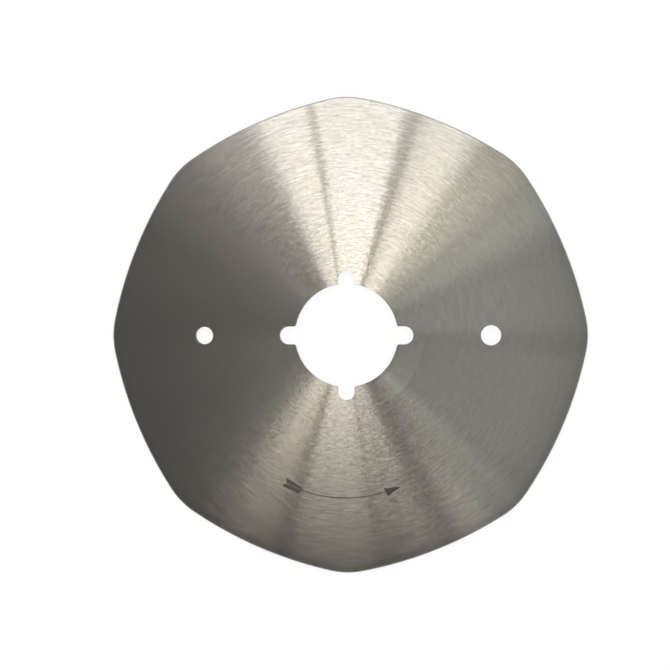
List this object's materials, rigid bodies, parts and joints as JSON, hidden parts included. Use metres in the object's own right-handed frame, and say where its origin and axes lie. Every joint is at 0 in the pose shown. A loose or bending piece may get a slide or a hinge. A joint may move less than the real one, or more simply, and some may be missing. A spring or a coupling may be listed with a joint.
{
  "type": "rotary cutter blade",
  "caption": "Thin flat steel cutting blade with curved sides meeting at rounded corners, a bevelled rim, a notched centre bore and two pin holes.",
  "frame": {"origin": "centre of the bore, on the underside of the blade", "axes": "+Z along the bore axis and up through the marked face, +X from the bore to the larger pin hole"},
  "size_m": [0.1, 0.1, 0.001],
  "materials": {
    "ground_steel": "tool steel ground bare, brushed in fine rings round the bore"
  },
  "bodies": {
    "root": {"blade": "ground_steel"}
  },
  "joints": []
}
